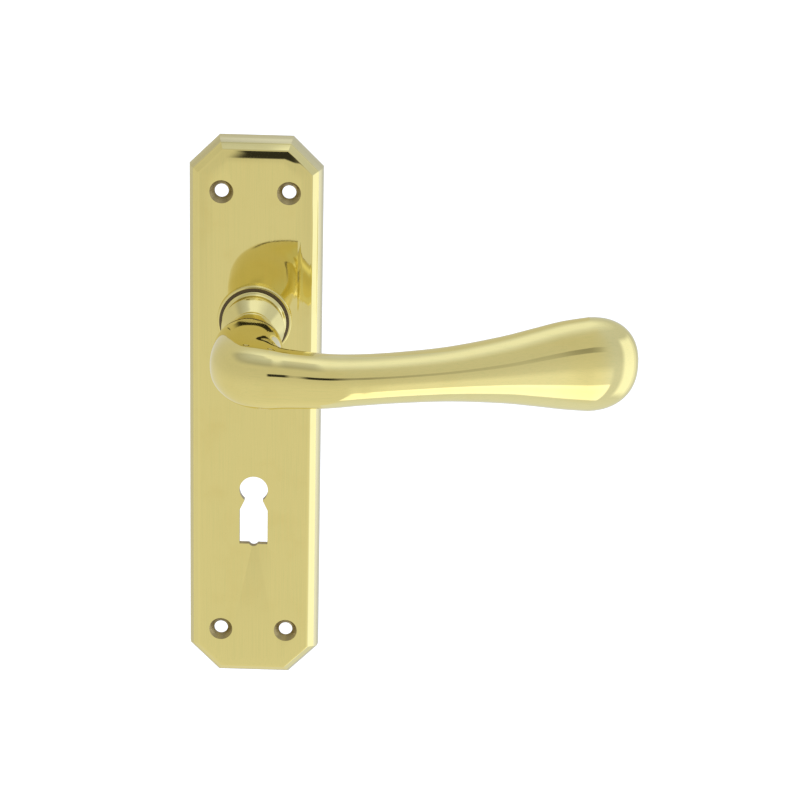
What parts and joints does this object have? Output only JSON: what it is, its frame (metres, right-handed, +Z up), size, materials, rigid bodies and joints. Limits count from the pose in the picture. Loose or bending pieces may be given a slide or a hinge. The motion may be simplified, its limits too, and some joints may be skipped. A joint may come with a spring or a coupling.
{
  "type": "lever lock handle on backplate",
  "caption": "Sprung brass lever handle on a tall bevelled backplate with a keyhole below the lever, fixing holes at the corners and a square spindle behind.",
  "frame": {"origin": "on the spindle axis, at the plane of the backplate's rear face that lies on the door", "axes": "+X towards the lever's free end, +Z up the backplate away from the keyhole, -Y out of the door towards the user"},
  "size_m": [0.1391, 0.1267, 0.18],
  "materials": {
    "polished_brass": "polished, clear lacquered",
    "turned_brass": "turned and polished",
    "lever_brass": "mirror polished",
    "nylon": "moulded amber nylon",
    "spring_steel": "oiled spring steel",
    "zinc_steel": "bright zinc plated",
    "black_steel": "black oxide"
  },
  "bodies": {
    "plate_body": {"backplate": "polished_brass", "collar_ring": "turned_brass", "bearing_bush": "nylon", "thrust_washer": "nylon", "rear_washer": "spring_steel", "stop_pins": "zinc_steel", "spring_post": "zinc_steel", "spring_cover": "zinc_steel", "cover_screws": "zinc_steel", "return_spring": "spring_steel"},
    "lever_body": {"lever": "lever_brass", "spindle": "zinc_steel", "grub_screw": "black_steel", "spring_cam": "zinc_steel", "circlip": "spring_steel"}
  },
  "joints": [
    {"name": "lever_turn", "type": "hinge", "parent": "plate_body", "child": "lever_body", "pos_m": [0, 0, 0], "axis": [0, 1, 0], "range_deg": [0, 40], "stiffness_Nm_per_rad": 0.32, "springref_deg": -57.3, "deforming": ["return_spring"]}
  ]
}
